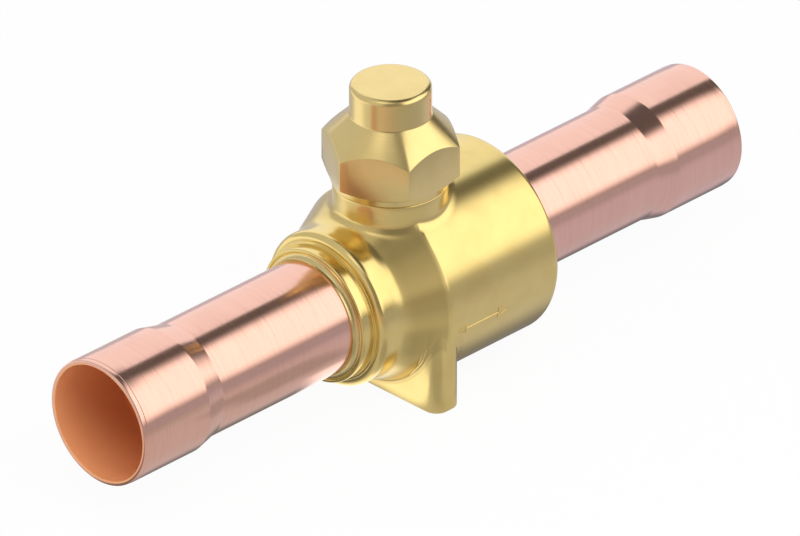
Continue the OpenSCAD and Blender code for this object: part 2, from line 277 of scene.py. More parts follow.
def combined(piece: bpy.types.Object, tool: bpy.types.Object, operation: str) -> None:
    """Cuts a piece with a tool by a Boolean and takes the tool away."""
    modified(piece, "BOOLEAN", operation=operation, object=tool, solver="EXACT")
    bpy.data.objects.remove(tool)


def merged(piece: bpy.types.Object, distance: float = 0.004) -> None:
    """Merges doubles and turns the normals outwards.

    Args:
        piece: The piece.
        distance: How far apart doubles may lie, in millimetres.
    """
    chosen(piece)
    bpy.ops.object.mode_set(mode="EDIT")
    bpy.ops.mesh.select_all(action="SELECT")
    bpy.ops.mesh.remove_doubles(threshold=MM * distance)
    bpy.ops.mesh.normals_make_consistent(inside=False)
    bpy.ops.object.mode_set(mode="OBJECT")


def dressed(piece: bpy.types.Object, finish: "Finish", body: Body, slot: Slot,
            *nodes: str, angle: float = SMOOTH_ANGLE) -> None:
    """Gives a finished piece its surface and its place in the frame.

    Args:
        piece: The modelled piece.
        finish: Its finish.
        body: The body it rides on.
        slot: The material slot of the record. It is not used.
        *nodes: The CAD nodes that it replaces.
        angle: Edges sharper than this stay sharp.
    """
    chosen(piece)
    bpy.ops.object.shade_smooth_by_angle(angle=angle)
    piece.data.materials.clear()
    piece.data.materials.append(finish.material())
    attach(piece, body.value)
    if nodes:
        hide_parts(*nodes)
    log.info("%s: %d faces on %s", piece.name, len(piece.data.polygons), body.value)


# Shaders


class Value:
    """A socket of a node tree. Arithmetic on it adds Math nodes."""

    def __init__(self, net: "Net", socket: bpy.types.NodeSocket) -> None:
        """Wraps a socket of a net."""
        self.net = net
        self.socket = socket

    def math(self, operation: str, *others: "Value | float") -> "Value":
        """This value and others through one Math node."""
        inputs = dict(enumerate((self, *others)))
        return self.net.value("ShaderNodeMath", {"operation": operation}, inputs)

    def __add__(self, other: "Value | float") -> "Value":
        """Sum."""
        return self.math("ADD", other)

    def __mul__(self, other: "Value | float") -> "Value":
        """Product."""
        return self.math("MULTIPLY", other)

    def __sub__(self, other: "Value | float") -> "Value":
        """Difference."""
        return self.math("SUBTRACT", other)

    def __rsub__(self, other: float) -> "Value":
        """Difference from a number."""
        inputs = {0: other, 1: self}
        return self.net.value("ShaderNodeMath", {"operation": "SUBTRACT"}, inputs)

    __radd__ = __add__
    __rmul__ = __mul__

    def ramp(self, start: float, end: float, low: float = 0.0, high: float = 1.0) -> "Value":
        """Smooth step from low at start to high at end."""
        inputs = {"Value": self, "From Min": start, "From Max": end, "To Min": low, "To Max": high}
        return self.net.value("ShaderNodeMapRange", {"interpolation_type": "SMOOTHSTEP"}, inputs)


class Net:
    """The node tree of one material or of the world."""

    def __init__(self, tree: bpy.types.NodeTree) -> None:
        """Starts from an empty tree."""
        self.tree = tree
        tree.nodes.clear()

    def node(self, kind: str, settings: dict[str, object] | None = None,
             inputs: dict[str | int, object] | None = None) -> bpy.types.Node:
        """Adds a node.

        Args:
            kind: Type of the node.
            settings: Its properties, set first.
            inputs: Values or links of its sockets.

        Returns:
            The node.
        """
        made = self.tree.nodes.new(kind)
        for key, setting in (settings or {}).items():
            setattr(made, key, setting)
        for key, given in (inputs or {}).items():
            if isinstance(given, Value):
                self.tree.links.new(given.socket, made.inputs[key])
            else:
                made.inputs[key].default_value = given
        return made

    def value(self, kind: str, settings: dict[str, object] | None = None,
              inputs: dict[str | int, object] | None = None, output: str | int = 0) -> Value:
        """Adds a node and gives one of its outputs."""
        return Value(self, self.node(kind, settings, inputs).outputs[output])

    def place(self) -> tuple[Value, Value, Value]:
        """Reads the place of a point of the surface.

        Returns:
            Its x, y and z in millimetres about the ball's centre.
        """
        coordinate = self.value("ShaderNodeTexCoord", output="Object")
        settings = {"vector_type": "POINT"}
        inputs = {"Vector": coordinate, "Location": (-FOOT_AHEAD, 0, -AXIS_H),
                  "Scale": (1 / MM,) * 3}
        mapped = self.value("ShaderNodeMapping", settings, inputs)
        apart = self.node("ShaderNodeSeparateXYZ", inputs={0: mapped})
        return tuple(Value(self, socket) for socket in apart.outputs)

    def noise(self, x: Value, y: Value, z: Value, detail: float) -> Value:
        """Soft noise with grains about one unit wide.

        Args:
            x: The point's x, scaled to the grain that is wanted.
            y: Its y.
            z: Its z.
            detail: How many finer layers are added.

        Returns:
            A value from 0 to 1.
        """
        vector = self.value("ShaderNodeCombineXYZ", inputs={0: x, 1: y, 2: z})
        inputs = {"Vector": vector, "Scale": 1.0, "Detail": detail, "Roughness": 0.55}
        return self.value("ShaderNodeTexNoise", {"noise_dimensions": "3D"}, inputs, "Fac")

    def mix(self, share: "Value | float", a: "Value | Colour", b: "Value | Colour") -> Value:
        """Mixes two colours.

        Args:
            share: How much of the second colour there is, from 0 to 1.
            a: The first colour.
            b: The second colour.

        Returns:
            The mixed colour.
        """
        settings = {"data_type": "RGBA", "blend_type": "MIX"}
        inputs = {"Factor": share, 6: a, 7: b}
        return self.value("ShaderNodeMix", settings, inputs, 2)

    def lit(self, colour: Value, level: Value) -> Value:
        """A colour at a level of light."""
        inputs = {0: colour, "Scale": level}
        return self.value("ShaderNodeVectorMath", {"operation": "SCALE"}, inputs)

    def bump(self, height: Value, depth: float) -> Value:
        """Normal bumped by a height from 0 to 1 that stands for a depth in millimetres."""
        inputs = {"Height": height, "Strength": 1.0, "Distance": depth * MM}
        return self.value("ShaderNodeBump", inputs=inputs)

    def surface(self, **inputs: object) -> None:
        """Ends the tree with a Principled shader.

        Args:
            **inputs: What its sockets get. Underscores in the names stand for spaces.
        """
        named = {key.replace("_", " "): given for key, given in inputs.items()}
        shader = self.value("ShaderNodeBsdfPrincipled", inputs=named)
        self.node("ShaderNodeOutputMaterial", inputs={"Surface": shader})


@dataclass(frozen=True)
class Finish:
    """A surface finish. Each kind of finish says how it shades a point."""

    name: str

    def material(self) -> bpy.types.Material:
        """Makes the finish once.

        Returns:
            Its material.
        """
        if self.name in bpy.data.materials:
            return bpy.data.materials[self.name]
        made = bpy.data.materials.new(self.name)
        made.use_nodes = True
        self.shade(Net(made.node_tree))
        return made

    def shade(self, net: Net) -> None:
        """Fills a material's node tree."""
        raise NotImplementedError


@dataclass(frozen=True)
class BrushedCopper(Finish):
    """Drawn copper tube, brushed round its axis."""

    colour: Colour = (0.94, 0.55, 0.44, 1)
    dark: Colour = (0.66, 0.31, 0.22, 1)
    # painted bounce light: the warm colour of the bore
    bore_bounce_light: Colour = (1.0, 0.48, 0.22, 1)
    roughness: float = 0.15
    fine_grain: float = 7.0
    band_grain: float = 1.1
    scratch_grain: float = 4.5
    stain_grain: float = 0.09
    depth: float = 0.005
    middle_x: float = 3.25  # midway between the two mouths
    taper: Span = (71.6, 77.3)  # where the walls widen, from there
    wall_r: Span = (13.65, 15.0)  # middle of the wall before and after

    def shade(self, net: Net) -> None:
        """Fine rings round the pipe's axis, short scratches and soft stains, and a warm, less metallic bore
        painted brighter as light bouncing inside it.

        Args:
            net: The material's node tree.
        """
        x, y, z = net.place()
        fine = net.noise(x * self.fine_grain, y * 0.05, z * 0.05, 4)
        bands = net.noise(x * self.band_grain, y * 0.04, z * 0.04, 2)
        scratch = net.noise(x * self.scratch_grain, y * 0.07, z * 0.07, 1).ramp(0.62, 0.74)
        stain = net.noise(x * self.stain_grain, y * self.stain_grain, z * self.stain_grain, 3)
        radius = (y * y + z * z).math("SQRT")
        inside = (x - self.middle_x).math("ABSOLUTE").ramp(*self.taper, *self.wall_r) - radius
        bore = inside.ramp(0.05, 0.3)
        worn = scratch * 0.3 + fine.ramp(0.45, 0.8) * 0.2 + bands * 0.1 + stain.ramp(0.45, 0.75) * 0.1
        outer = net.mix(worn, self.colour, self.dark)
        rough = fine * 0.10 + bands * 0.06 + stain * 0.05 + (self.roughness - 0.10) + bore * 0.04
        # the bore is less metallic and warmer, painted brighter as light bouncing inside it
        net.surface(Base_Color=net.mix(bore, outer, self.bore_bounce_light), Metallic=1 - bore * 0.7,
                    Roughness=rough, Normal=net.bump(fine * 0.5 + scratch * 0.5, self.depth))


@dataclass(frozen=True)
class ForgedBrass(Finish):
    """Satin brass forging with turned rings at its front end and painted shade on its cone."""

    colour: Colour = (0.89, 0.68, 0.27, 1)
    dark: Colour = (0.80, 0.58, 0.21, 1)
    # painted shade: the darker colour of the cone
    cone_shade: Colour = (0.70, 0.52, 0.20, 1)
    roughness: float = 0.19
    cloud_grain: float = 0.12
    cast_grain: float = 5.0
    line_grain: float = 11.0
    depth: float = 0.008
    turned_to: float = -17.0  # the front is turned up to here
    forged_from: float = -15.4  # the cone is as it was forged, with coarser grain and painted darker as shade, from here
    machined_from: float = -4.6  # the barrel is turned again from here
    soft_edge: float = 0.8
    cone_shade_edge: float = 3.4
    cone_r: float = 18.9  # the cone's radius at turned_to
    cone_slope: float = 0.446
    cone_skin: Span = (-0.9, -0.4)  # how far outside the cone its own skin ends

    def shade(self, net: Net) -> None:
        """Tool lines where x is below turned_to, a grained cone painted darker as shade, then a smooth
        barrel.

        Args:
            net: The material's node tree.
        """
        x, y, z = net.place()
        cloud = net.noise(x * self.cloud_grain, y * self.cloud_grain, z * self.cloud_grain, 3)
        grain = net.noise(x * self.cast_grain, y * self.cast_grain, z * self.cast_grain, 3)
        lines = net.noise(x * self.line_grain, y * 0.04, z * 0.04, 3)
        machined = x.ramp(self.turned_to, self.turned_to - self.soft_edge)
        radius = (y * y + z * z).math("SQRT")
        on_cone = (x - self.turned_to) * self.cone_slope + self.cone_r - radius
        # the cone's mask, for its coarser grain and for its painted shade
        grain_and_shade = (x.ramp(self.forged_from, self.forged_from + self.cone_shade_edge)
                     * on_cone.ramp(*self.cone_skin)
                     * x.ramp(self.machined_from, self.machined_from - self.soft_edge))
        relief = grain * (1 - machined) * (0.5 + grain_and_shade * 0.4) + lines * machined * 0.5
        tint = net.mix(cloud.ramp(0.35, 0.8) * 0.6 + relief * 0.3, self.colour, self.dark)
        # painted shade: the cone's colour darkened towards cone_shade
        tint = net.mix(grain_and_shade * 0.8, tint, self.cone_shade)
        rough = cloud * 0.06 + machined * -0.06 + self.roughness
        net.surface(Base_Color=tint, Metallic=1.0, Roughness=rough,
                    Normal=net.bump(relief, self.depth))


@dataclass(frozen=True)
class TurnedBrass(Finish):
    """Bright brass with the lines of a lathe tool."""

    axis: Axis = Axis.STEM
    colour: Colour = (0.90, 0.69, 0.30, 1)
    dark: Colour = (0.81, 0.60, 0.24, 1)
    roughness: float = 0.21
    line_grain: float = 8.0
    cloud_grain: float = 0.13
    depth: float = 0.005

    def shade(self, net: Net) -> None:
        """Tool lines round the axis, on the sides and on the end faces.

        Args:
            net: The material's node tree.
        """
        x, y, z = net.place()
        along, across = (x, y) if self.axis is Axis.PIPE else (z, x)
        third = z if self.axis is Axis.PIPE else y
        radius = (across * across + third * third).math("SQRT")
        lines = net.noise(along * self.line_grain, radius * self.line_grain, across * 0.02, 3)
        cloud = net.noise(x * self.cloud_grain, y * self.cloud_grain, z * self.cloud_grain, 3)
        tint = net.mix(cloud.ramp(0.35, 0.8) * 0.5 + lines * 0.3, self.colour, self.dark)
        rough = lines * 0.08 + cloud * 0.06 + (self.roughness - 0.06)
        net.surface(Base_Color=tint, Metallic=1.0, Roughness=rough,
                    Normal=net.bump(lines, self.depth))


@dataclass(frozen=True)
class PlainMetal(Finish):
    """Plated or ground metal of the small inner pieces."""

    colour: Colour = (0.62, 0.62, 0.60, 1)
    dark: Colour = (0.45, 0.45, 0.44, 1)
    roughness: float = 0.25
    grain: float = 6.0
    depth: float = 0.003

    def shade(self, net: Net) -> None:
        """Fine grain and soft clouds in one tint.

        Args:
            net: The material's node tree.
        """
        x, y, z = net.place()
        grain = net.noise(x * self.grain, y * self.grain, z * self.grain, 4)
        cloud = net.noise(x * 0.2, y * 0.2, z * 0.2, 2)
        tint = net.mix(cloud * 0.6 + grain * 0.3, self.colour, self.dark)
        rough = grain * 0.1 + cloud * 0.06 + (self.roughness - 0.08)
        net.surface(Base_Color=tint, Metallic=1.0, Roughness=rough,
                    Normal=net.bump(grain, self.depth))


@dataclass(frozen=True)
class PlainSolid(Finish):
    """Seat plastic, rubber and gasket sheet."""

    colour: Colour = (0.86, 0.86, 0.83, 1)
    dark: Colour = (0.74, 0.74, 0.70, 1)
    roughness: float = 0.45
    grain: float = 3.0
    depth: float = 0.01

    def shade(self, net: Net) -> None:
        """Mottled tint with a fine grain.

        Args:
            net: The material's node tree.
        """
        x, y, z = net.place()
        grain = net.noise(x * self.grain, y * self.grain, z * self.grain, 4)
        cloud = net.noise(x * 0.4, y * 0.4, z * 0.4, 2)
        tint = net.mix(cloud * 0.5 + grain * 0.5, self.colour, self.dark)
        net.surface(Base_Color=tint, Metallic=0.0, Roughness=grain * 0.2 + (self.roughness - 0.1),
                    Normal=net.bump(grain, self.depth))


COPPER = BrushedCopper("brushed_copper")
FORGED = ForgedBrass("forged_brass")
CAP_BRASS = TurnedBrass("turned_brass_cap")
PLUG_BRASS = TurnedBrass("turned_brass_plug", axis=Axis.PIPE)
CHROME = PlainMetal("hard_chrome", (0.72, 0.73, 0.74, 1), (0.60, 0.61, 0.63, 1), 0.14, 9.0, 0.001)
STEM_STEEL = PlainMetal("stem_steel", (0.62, 0.62, 0.60, 1), (0.48, 0.48, 0.47, 1), 0.28)
SMALL_STEEL = PlainMetal("spring_steel", (0.50, 0.50, 0.50, 1), (0.36, 0.36, 0.37, 1), 0.32)
BRAZE = PlainMetal("brass_braze", (0.84, 0.66, 0.30, 1), (0.70, 0.52, 0.24, 1), 0.26, 1.6, 0.02)
PTFE = PlainSolid("seat_plastic")
RUBBER = PlainSolid("seal_rubber", (0.03, 0.03, 0.03, 1), (0.015, 0.015, 0.015, 1), 0.5)
GASKET = PlainSolid("gasket_sheet", (0.72, 0.70, 0.64, 1), (0.60, 0.57, 0.50, 1), 0.6, 5.0, 0.02)

NODE_FINISHES: dict[str, Finish] = {
    "ball": CHROME,
    "front_seat": PTFE,
    "rear_seat": PTFE,
    "thrust_washer": PTFE,
    "front_seat_oring": RUBBER,
    "rear_seat_oring": RUBBER,
    "plug_oring": RUBBER,
    "stem_oring_lower": RUBBER,
    "stem_oring_upper": RUBBER,
    "stem": STEM_STEEL,
    "stop_plate": SMALL_STEEL,
    "stop_pin": SMALL_STEEL,
    "retaining_ring": SMALL_STEEL,
    "cap_gasket": GASKET,
}


# Pieces


@dataclass
class BodyForging:
    """The brass body: turned outside and inside, with the neck and the foot grown out of it."""

    collar_x: float = -25.5
    shoulder_x: float = -21.75
    cone_x: float = -15.436
    barrel_x: float = -4.1
    end_x: float = 31.296
    plug_x: float = 14.496
    tube_x: float = -19.436
    seat_x: float = -16.936
    ring_r: float = 15.75
    ring_half: float = 0.2
    ring_depth: float = 0.3
    collar_r: float = 16.65
    step_r: float = 17.3
    step_back: float = 0.3
    shoulder_r: float = 19.3
    body_r: float = 24.5
    grip_r: float = 14.35
    port_r: float = 12.5
    pocket_r: float = 16.0
    cavity_r: float = 18.6
    plug_bore_r: float = 20.05
    edge: float = 0.3
    shoulder_round: float = 1.75
    cone_round: float = 6.0
    barrel_round: float = 1.2
    end_round: float = 1.5
    neck_r: float = 13.6
    neck_blend: float = 1.6
    neck_top: float = 26.3
    neck_edge: float = 0.3
    neck_wall_least: float = 0.15
    thread_root_r: float = 10.15
    thread_top: float = 38.5
    lead_in: Span = (0.6, 0.8)
    shelf_rings: tuple[float, ...] = (12.6, 11.4)
    top_rings: tuple[float, ...] = (9.2, 4.0)
    stop_r: float = 8.6
    stop_z: float = 32.0
    stem_r: float = 6.05
    flange_r: float = 8.3
    flange_z: float = 21.4
    shaft_low: float = 10.0
    shaft_high: float = 41.0
    foot_half_x: float = 4.35
    foot_half_y: float = 23.4
    foot_corner: float = 3.4
    foot_blend: float = 0.8
    foot_edge: float = 0.3
    least_blend: float = 0.25
    hole_r: float = 2.1
    hole_y: float = 17.0
    hole_depth: float = 9.0
    drill_tip: float = 1.2
    window_room: float = 0.7  # between the toe of a blend and its window in the skin
    foot_room: float = 0.6
    steps: int = 288

    def __post_init__(self) -> None:
        """Works out the outside as radii along the pipe."""
        self.outside = rounded([
            (self.grip_r, self.collar_x),
            (self.ring_r - self.ring_half, self.collar_x, 0.1),
            (self.ring_r, self.collar_x + self.ring_depth),
            (self.ring_r + self.ring_half, self.collar_x, 0.1),
            (self.collar_r, self.collar_x, 0.35),
            (self.collar_r, self.shoulder_x - self.step_back, 0.12),
            (self.step_r, self.shoulder_x - self.step_back, 0.15),
            (self.step_r, self.shoulder_x),
            (self.shoulder_r, self.shoulder_x, self.shoulder_round),
            (self.shoulder_r, self.cone_x, self.cone_round),
            (self.body_r, self.barrel_x, self.barrel_round),
            (self.body_r, self.end_x, self.end_round),
            (self.plug_bore_r, self.end_x, self.edge),
            (self.plug_bore_r, self.plug_x),
            (self.cavity_r, self.plug_x, self.edge),
        ], step=0.3, longest=0.7)

    def inside(self) -> list[Vector]:
        """Works out the bores along the pipe.

        Returns:
            Their outline, from the cavity back to the front mouth.
        """
        start = -math.sqrt(self.cavity_r ** 2 - self.pocket_r ** 2)
        dome = [(self.cavity_r * math.cos(t), self.cavity_r * math.sin(t))
                for t in (math.asin(start / self.cavity_r) * k / 10 for k in range(11))]
        return rounded([*dome, (self.pocket_r, self.seat_x), (self.port_r, self.seat_x, self.edge),
                        (self.port_r, self.tube_x, self.edge), (self.grip_r, self.tube_x)],
                       longest=2.0)

    def radius_at(self, x: float) -> float:
        """Radius of the outside.

        Args:
            x: Place along the pipe.

        Returns:
            The radius there.
        """
        for a, b in zip(self.outside, self.outside[1:]):
            if a.y <= x <= b.y and b.y > a.y and a.x >= self.ring_r:
                return a.x + (b.x - a.x) * (x - a.y) / (b.y - a.y)
        return self.body_r

    def on_skin(self, x: float, angle: float) -> Vector:
        """A point of the outside, where the angle is taken from the top towards +Y."""
        r = self.radius_at(x)
        return Vector((x, r * math.sin(angle), r * math.cos(angle)))

    def over(self, x: float, y: float) -> float:
        """Height of the outside above the axis over a point of the plan."""
        return math.sqrt(max(self.radius_at(x) ** 2 - y * y, 0.01))

    def opened(self, mesh: bmesh.types.BMesh, half_x: float, half_y: float, corner: float,
               middle_x: float, side: int) -> list[bmesh.types.BMVert]:
        """Takes a window out of the outside, an outline in plan with round corners.

        Args:
            mesh: The body's mesh.
            half_x: Half of the window's length along the pipe.
            half_y: Half of its width across the pipe.
            corner: Radius of its corners.
            middle_x: Place of its middle along the pipe.
            side: 1 on top and -1 underneath.

        Returns:
            The vertices round the window in order.
        """
        least_z, skin = 1.5, 0.3
        gone = []
        for face in mesh.faces:
            c = on_drawing(face.calc_center_median())
            if c.z * side < least_z or abs(math.hypot(c.y, c.z) - self.radius_at(c.x)) > skin:
                continue
            apart = Vector((max(abs(c.x - middle_x) - half_x + corner, 0),
                            max(abs(c.y) - half_y + corner, 0)))
            if apart.length < corner:
                gone.append(face)
        bmesh.ops.delete(mesh, geom=gone, context="FACES")
        rim = {v for e in mesh.edges if e.is_boundary for v in e.verts}
        ordered = [min(rim, key=lambda v: (v.co.x, v.co.y))]
        rim.discard(ordered[0])
        while rim:
            steps = [e.other_vert(ordered[-1]) for e in ordered[-1].link_edges if e.is_boundary]
            after = next((v for v in steps if v in rim), None)
            if after is None:
                break
            ordered.append(after)
            rim.discard(after)
        return ordered

    def grown(self, mesh: bmesh.types.BMesh, rim: list[bmesh.types.BMVert], rings: list[Ring]) -> None:
        """Fills a window with rings of faces and a last face in the middle.

        Args:
            mesh: The body's mesh.
            rim: The vertices round the window.
            rings: Rings of as many points, from the rim inwards.
        """
        last = rim
        for ring in rings:
            made = [mesh.verts.new(placed(*p)) for p in ring]
            for i in range(len(last)):
                j = (i + 1) % len(last)
                mesh.faces.new((last[i], last[j], made[j], made[i]))
            last = made
        mesh.faces.new(last)

    def skin_rings(self, rim: list[bmesh.types.BMVert], toe: Ring, middle: float, rows: int) -> list[Ring]:
        """Rings on the outside from a window's rim to the toe of a blend.

        Args:
            rim: The vertices round the window.
            toe: The blend's first ring.
            middle: Direction of the window's middle, from the top towards +Y.
            rows: How many rings.

        Returns:
            The rings, the last one on the toe.
        """
        rings = []
        for k in range(1, rows + 1):
            ring = []
            for vertex, end in zip(rim, toe):
                a = on_drawing(vertex.co)
                start = math.remainder(math.atan2(a.y, a.z) - middle, TURN)
                stop = math.remainder(math.atan2(end.y, end.z) - middle, TURN)
                share = k / rows
                ring.append(self.on_skin(a.x + (end.x - a.x) * share,
                                         middle + start + (stop - start) * share))
            rings.append(ring)
        return rings

    def blend_rings(self, toe: Ring, bend: Ring, wall: Ring, rows: int = 7) -> list[Ring]:
        """Rings of a fillet that leaves the outside at its toe, turns at a bend and ends on a wall."""
        return [[a.lerp(b, k / rows).lerp(b.lerp(c, k / rows), k / rows)
                 for a, b, c in zip(toe, bend, wall)] for k in range(1, rows + 1)]

    def neck_rings(self, rim: list[bmesh.types.BMVert]) -> list[Ring]:
        """Rings of the neck: its blend, its wall, the shoulder for the cap and the thread's core.

        Args:
            rim: The vertices round the window that it fills.

        Returns:
            The rings from the skin to the neck's top.
        """
        turns = steady([math.atan2(p.y, p.x) for p in (on_drawing(v.co) for v in rim)])

        def circle(r: float, z: float) -> Ring:
            """A level circle with one point for each of the rim's."""
            return [Vector((r * math.cos(t), r * math.sin(t), z)) for t in turns]

        edge_z = self.neck_top - self.neck_edge
        toe, bend, low = [], [], []
        for near, far in zip(circle(self.neck_r, 0), circle(self.neck_r + self.neck_blend, 0)):
            height = self.over(far.x, far.y)
            slope = (self.over(*far.lerp(near, 0.01).xy) - height) / 0.01
            top = min(height + slope + self.neck_blend, edge_z - self.neck_wall_least)
            toe.append(Vector((far.x, far.y, height)))
            bend.append(Vector((near.x, near.y, height + slope)))
            low.append(Vector((near.x, near.y, top)))
        blend = self.blend_rings(toe, bend, low)
        walls = [[p.lerp(Vector((p.x, p.y, edge_z)), k / 4) for p in low] for k in range(1, 5)]
        edge = [circle(self.neck_r + self.neck_edge * (math.cos(t) - 1),
                       edge_z + self.neck_edge * math.sin(t))
                for t in (math.pi / 6, math.pi / 3, math.pi / 2)]
        shelf = [circle(r, self.neck_top) for r in (*self.shelf_rings, self.thread_root_r)]
        core = [circle(self.thread_root_r, self.neck_top + 1),
                circle(self.thread_root_r, self.thread_top - self.lead_in[1]),
                circle(self.thread_root_r - self.lead_in[0], self.thread_top)]
        top = [circle(r, self.thread_top) for r in self.top_rings]
        return self.skin_rings(rim, toe, 0.0, 2) + blend + walls + edge + shelf + core + top

    def foot_point(self, turn: float) -> tuple[Vector, Vector]:
        """A point of the foot's outline in plan, seen from the middle, and the way outwards there.

        Args:
            turn: Direction in the outline's own stretched square.

        Returns:
            The point and the unit vector outwards.
        """
        half, corner = Vector((self.foot_half_x, self.foot_half_y)), self.foot_corner
        inner = half - Vector((corner, corner))
        ray = Vector((math.cos(turn) * half.x, math.sin(turn) * half.y))
        low, high = 0.0, 1.6
        for _ in range(40):
            share = (low + high) / 2
            p = ray * share
            d = Vector((max(abs(p.x) - inner.x, 0), max(abs(p.y) - inner.y, 0)))
            if d.length < corner:
                low = share
            else:
                high = share
        p = ray * low
        d = Vector((math.copysign(max(abs(p.x) - inner.x, 0), p.x),
                    math.copysign(max(abs(p.y) - inner.y, 0), p.y)))
        return p, d.normalized()

    def foot_rings(self, rim: list[bmesh.types.BMVert]) -> list[Ring]:
        """Rings of the foot: its blend, its walls and the rounded edge of its underside.

        Args:
            rim: The vertices round the window that it fills.

        Returns:
            The rings from the skin to the underside.
        """
        toe, bend, wall, ends, edges, outwards = [], [], [], [], [], []
        places = [on_drawing(v.co) for v in rim]
        for turn in steady([math.atan2(a.y / self.foot_half_y, (a.x + FOOT_AHEAD) / self.foot_half_x)
                            for a in places]):
            p, way = self.foot_point(turn)
            out = Vector((way.x, way.y, 0))
            x, r = p.x - FOOT_AHEAD, self.radius_at(p.x - FOOT_AHEAD)
            met = Vector((x, p.y, -self.over(x, p.y)))
            slope = (self.radius_at(x + 0.1) - self.radius_at(x - 0.1)) / 0.2
            skin = Vector((-slope, met.y / r, met.z / r)).normalized()
            along = skin.cross(out).cross(skin).normalized()
            along *= math.copysign(1, along.dot(out))
            height = AXIS_H + met.z
            bent = math.acos(max(-1, min(1, skin.dot(out))))
            size = max(self.foot_blend * math.tan(bent / 2), self.least_blend)
            start = met + along * min(size, height + 0.15)
            toe.append(self.on_skin(start.x, math.atan2(start.y, start.z)))
            bend.append(met)
            wall.append(met - Vector((0, 0, min(size, height * 0.4))))
            edges.append(min(self.foot_edge, height * 0.4))
            ends.append(Vector((met.x, met.y, edges[-1] - AXIS_H)))
            outwards.append(out)
        blend = self.blend_rings(toe, bend, wall)
        walls = [[a.lerp(b, k / 6) for a, b in zip(wall, ends)] for k in range(1, 7)]
        edge = []
        for t in (math.pi / 8, math.pi / 4, 3 * math.pi / 8, math.pi / 2):
            edge.append([p - n * size * (1 - math.cos(t)) - Vector((0, 0, size * math.sin(t)))
                         for p, n, size in zip(ends, outwards, edges)])
        return self.skin_rings(rim, toe, math.pi, 2) + blend + walls + edge

    def build(self) -> None:
        """Turns the body, grows neck and foot, and cuts the stem's bore and the foot's holes."""
        piece = turned("body_forging", self.outside + self.inside(), Axis.PIPE, self.steps)
        mesh = bmesh.new()
        mesh.from_mesh(piece.data)
        toe_r = self.neck_r + self.neck_blend + self.window_room
        rim = self.opened(mesh, toe_r, toe_r, toe_r, 0.0, 1)
        self.grown(mesh, rim, self.neck_rings(rim))
        half_x = self.foot_half_x + self.foot_blend + self.window_room
        rim = self.opened(mesh, half_x, self.foot_half_y + self.foot_room,
                          self.foot_corner + self.foot_room, -FOOT_AHEAD, -1)
        self.grown(mesh, rim, self.foot_rings(rim))
        mesh.to_mesh(piece.data)
        mesh.free()
        merged(piece, 0.002)
        shaft = [(0, self.shaft_high), (self.stop_r, self.shaft_high), (self.stop_r, self.stop_z),
                 (self.stem_r, self.stop_z), (self.stem_r, self.flange_z), (self.flange_r, self.flange_z),
                 (self.flange_r, self.shaft_low), (0, self.shaft_low)]
        combined(piece, turned("shaft", rounded(shaft), Axis.STEM, 96, closed=False), "DIFFERENCE")
        hole_end = self.hole_depth - AXIS_H
        for side in (-1, 1):
            hole = rounded([(0, -AXIS_H - 1), (self.hole_r, -AXIS_H - 1), (self.hole_r, hole_end),
                            (0, hole_end + self.drill_tip)])
            drill = turned("drill", hole, Axis.STEM, 48, closed=False)
            drill.data.transform(Matrix.Translation(Vector((-FOOT_AHEAD, side * self.hole_y, 0)) * MM))
            combined(piece, drill, "DIFFERENCE")
        dressed(piece, FORGED, Body.VALVE, Slot.BRASS_BODY, "body")


@dataclass
class CopperTube:
    """One copper tube with its widened solder socket."""

    name: str
    node: str
    start_x: float
    reach: float
    side: int
    tube_r: float = 14.3
    bore_r: float = 13.0
    socket_r: float = 14.4
    outer_r: float = 15.6
    socket_depth: float = 20.9
    taper: float = 5.6
    taper_round: float = 2.0
    mouth: float = 1.3
    band_step: float = 0.1

    def build(self) -> None:
        """Turns the tube with its taper and the narrow band round its mouth."""
        socket_x = self.reach - self.socket_depth
        taper_x = socket_x - self.taper
        band_x = self.reach - self.mouth
        outline = rounded([
            (self.bore_r, self.start_x),
            (self.tube_r, self.start_x),
            (self.tube_r, taper_x, self.taper_round),
            (self.outer_r, socket_x, self.taper_round),
            (self.outer_r, band_x - self.band_step, 0.1),
            (self.outer_r - self.band_step, band_x),
            (self.outer_r - self.band_step, self.reach, 0.3),
            (self.socket_r, self.reach, 0.2),
            (self.socket_r, socket_x, 0.6),
            (self.bore_r, taper_x, self.taper_round),
        ], step=0.12, longest=8.0)
        points = [Vector((p.x, self.side * p.y)) for p in outline]
        piece = turned(self.name, points, Axis.PIPE, ROUND_STEPS)
        dressed(piece, COPPER, Body.VALVE, Slot.COPPER, self.node)


@dataclass
class EndPlug:
    """The brass plug that closes the barrel and holds the rear tube."""

    nose_x: float = 10.796
    step_x: float = 14.496
    seat_x: float = 16.936
    groove: Span = (17.62, 20.172)
    tube_x: float = 20.936
    end_x: float = 30.896
    pocket_r: float = 16.0
    nose_r: float = 18.5
    groove_r: float = 18.15
    plug_r: float = 20.0
    grip_r: float = 14.35
    port_r: float = 12.5

    def build(self) -> None:
        """Turns the plug with its O-ring groove and broken edges."""
        groove_from, groove_to = self.groove
        outline = rounded([
            (self.pocket_r, self.nose_x), (self.nose_r, self.nose_x, 0.3), (self.nose_r, self.step_x),
            (self.plug_r, self.step_x, 0.3), (self.plug_r, groove_from), (self.groove_r, groove_from),
            (self.groove_r, groove_to), (self.plug_r, groove_to), (self.plug_r, self.end_x, 0.6),
            (self.grip_r, self.end_x, 0.2), (self.grip_r, self.tube_x), (self.port_r, self.tube_x),
            (self.port_r, self.seat_x), (self.pocket_r, self.seat_x)])
        piece = turned("end_plug_turned", outline, Axis.PIPE, ROUND_STEPS)
        dressed(piece, PLUG_BRASS, Body.VALVE, Slot.BRASS_TURNED, "end_plug")


